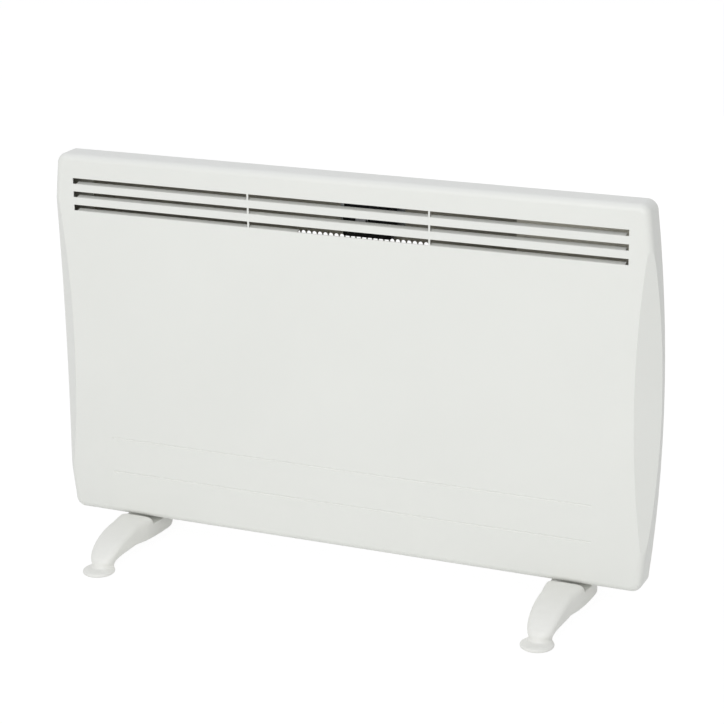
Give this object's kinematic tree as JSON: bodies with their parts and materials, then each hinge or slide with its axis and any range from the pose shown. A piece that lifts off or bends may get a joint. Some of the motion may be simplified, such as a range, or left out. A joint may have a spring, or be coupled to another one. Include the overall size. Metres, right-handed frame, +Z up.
{
  "type": "ceramic electric radiator",
  "caption": "Free-standing ceramic panel radiator with outlet slots, scooped sides, side thermostat, rocker switches and arched feet.",
  "frame": {"origin": "on the floor, midway between the four pads", "axes": "+X to the right as the radiator is faced, +Y to its back, +Z up"},
  "size_m": [0.7474, 0.3026, 0.4806],
  "materials": {
    "cover_paint": "satin white powder coat",
    "casing_paint": "satin white powder coat",
    "galvanised_sheet": "galvanised sheet steel",
    "ceramic_body": "unglazed fired ceramic",
    "element_sheath": "dull heat-tinted steel sheath",
    "insulator_ceramic": "glazed ceramic",
    "zinc_steel": "bright zinc plate",
    "lead_sleeve": "silicone sleeve",
    "black_moulding": "matt black moulding",
    "cap_aluminium": "plain pressed aluminium",
    "housing_sheet": "light grey coated sheet steel",
    "grommet_rubber": "black rubber",
    "fascia_plastic": "fine matt moulding",
    "knob_plastic": "satin moulding",
    "sensor_copper": "plain drawn copper",
    "switch_plastic": "black moulding",
    "rocker_plastic": "smooth black moulding",
    "lens_plastic": "clear amber moulding",
    "terminal_plastic": "ivory moulding",
    "wire_insulation": "brown insulation",
    "stud_brass": "turned brass",
    "gland_nylon": "black nylon",
    "foot_plastic": "fine satin white moulding",
    "glide_rubber": "pale grey rubber"
  },
  "bodies": {
    "radiator": {"front_panel": "cover_paint", "rear_casing": "casing_paint", "heat_shield": "galvanised_sheet", "ceramic_block_1": "ceramic_body", "ceramic_block_2": "ceramic_body", "ceramic_block_3": "ceramic_body", "ceramic_block_4": "ceramic_body", "ceramic_block_5": "ceramic_body", "ceramic_block_6": "ceramic_body", "core_rail_top": "galvanised_sheet", "core_rail_bottom": "galvanised_sheet", "core_bracket_left": "galvanised_sheet", "core_bracket_right": "galvanised_sheet", "heating_element_lower": "element_sheath", "heating_element_upper": "element_sheath", "element_insulators": "insulator_ceramic", "element_terminals": "zinc_steel", "element_leads": "lead_sleeve", "thermal_cutout": "black_moulding", "cutout_bracket": "galvanised_sheet", "cutout_cap": "cap_aluminium", "control_housing": "housing_sheet", "lead_grommets": "grommet_rubber", "control_fascia": "fascia_plastic", "thermostat_body": "black_moulding", "thermostat_sensor": "sensor_copper", "switch_body_1": "switch_plastic", "switch_body_2": "switch_plastic", "pilot_lens": "lens_plastic", "terminal_block": "terminal_plastic", "control_leads": "wire_insulation", "earth_stud": "stud_brass", "cable_gland": "gland_nylon", "gland_nut": "gland_nylon", "foot_left": "foot_plastic", "foot_right": "foot_plastic", "glide_front_left": "glide_rubber", "glide_front_right": "glide_rubber", "glide_rear_left": "glide_rubber", "glide_rear_right": "glide_rubber", "foot_screws": "zinc_steel", "foot_nuts": "zinc_steel", "casing_screws": "zinc_steel", "rear_screws": "zinc_steel"},
    "knob": {"thermostat_knob": "knob_plastic", "thermostat_shaft": "zinc_steel"},
    "rocker_upper": {"rocker_1": "rocker_plastic"},
    "rocker_lower": {"rocker_2": "rocker_plastic"}
  },
  "joints": [
    {"name": "knob_turn", "type": "hinge", "parent": "radiator", "child": "knob", "pos_m": [0.337, 0.0154, 0.395], "axis": [1, 0, 0], "range_deg": [-150, 150]},
    {"name": "rocker_upper_tilt", "type": "hinge", "parent": "radiator", "child": "rocker_upper", "pos_m": [0.3335, 0.0154, 0.345], "axis": [0, -1, 0], "range_deg": [0, 16]},
    {"name": "rocker_lower_tilt", "type": "hinge", "parent": "radiator", "child": "rocker_lower", "pos_m": [0.3335, 0.0154, 0.305], "axis": [0, -1, 0], "range_deg": [0, 16]}
  ]
}
